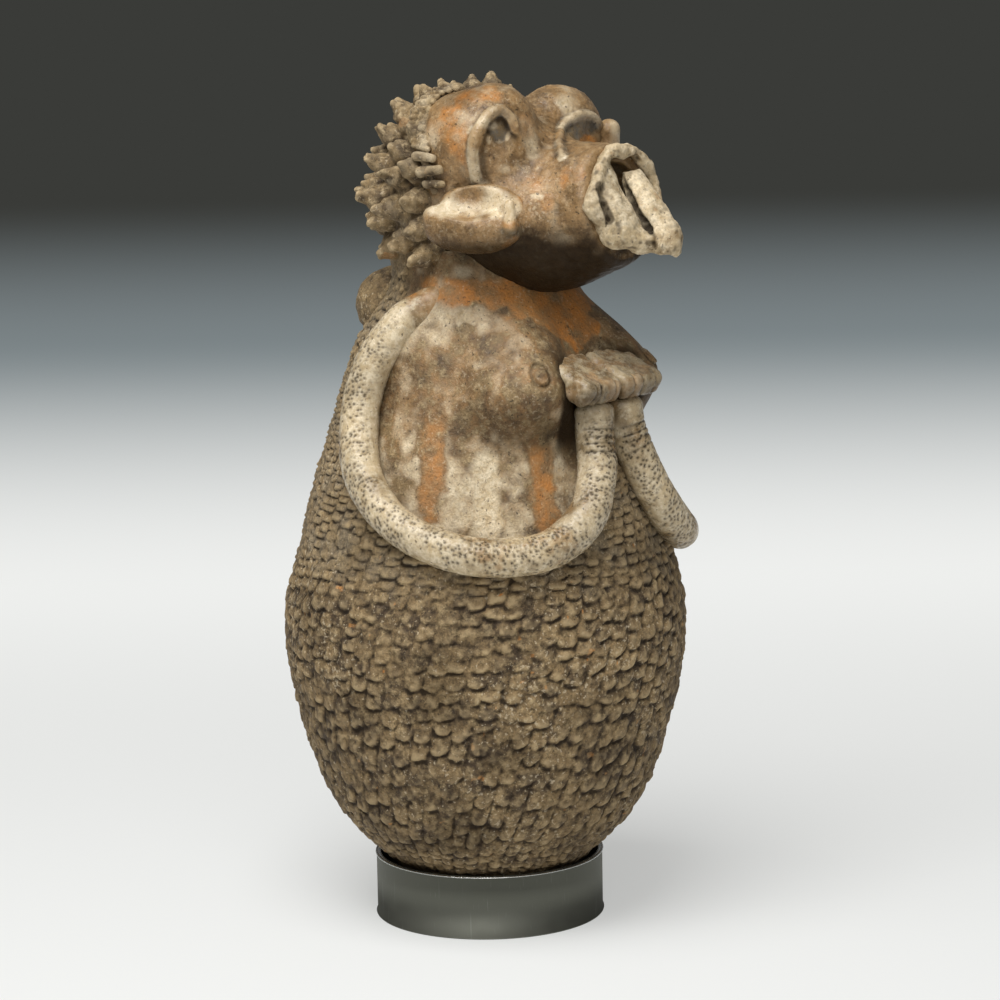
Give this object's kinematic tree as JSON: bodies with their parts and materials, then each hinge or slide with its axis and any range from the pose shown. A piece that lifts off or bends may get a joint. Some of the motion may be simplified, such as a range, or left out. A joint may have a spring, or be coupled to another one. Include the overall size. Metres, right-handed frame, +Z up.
{
  "type": "figurative terracotta vessel",
  "caption": "Hollow hand-built terracotta vessel in the form of a squat figure with a raised snout, arms looped to the chest and a pellet-covered belly, standing in a dark ring stand.",
  "frame": {"origin": "centre of the stand's underside, on the surface it stands on", "axes": "+Z up; the figure faces -Y; the figure's right side is towards -X"},
  "size_m": [0.2249, 0.2399, 0.4667],
  "materials": {
    "clay_body": "matte, pellet-covered and smoke-darkened",
    "clay_chest": "smoothed, worn",
    "ochre_slip": "burnished ochre slip",
    "limb_slip": "burnished pale slip",
    "hair_clay": "matte",
    "mouth_slip": "matte pale slip",
    "eye_gloss": "glossy, dark",
    "ring_steel": "blackened satin",
    "disc_wood": "stained",
    "felt": "matte"
  },
  "bodies": {
    "stand": {"stand_ring": "ring_steel", "stand_disc": "disc_wood", "felt_pad": "felt"},
    "vessel": {"base_bowl": "clay_body", "belly_wall": "clay_body", "torso_wall": "clay_chest", "neck": "ochre_slip", "cranium": "ochre_slip", "snout": "ochre_slip", "jaw": "clay_chest", "mouth_rim": "mouth_slip", "hair_cap": "hair_clay", "nape_knot": "hair_clay", "tongue_right": "mouth_slip", "tongue_left": "mouth_slip", "brow_right": "ochre_slip", "brow_left": "ochre_slip", "eyelid_right": "limb_slip", "eyelid_left": "limb_slip", "eye_right": "eye_gloss", "eye_left": "eye_gloss", "ear_right": "limb_slip", "ear_left": "limb_slip", "fringe_right": "hair_clay", "fringe_left": "hair_clay", "breast_right": "clay_chest", "breast_left": "clay_chest", "nipple_right": "clay_chest", "nipple_left": "clay_chest", "arm_right": "limb_slip", "arm_left": "limb_slip", "hand_right": "limb_slip", "hand_left": "limb_slip"}
  },
  "joints": [
    {"name": "vessel_lift", "type": "slide", "parent": "stand", "child": "vessel", "axis": [0, 0, 1], "range_m": [0, 0.08]}
  ]
}
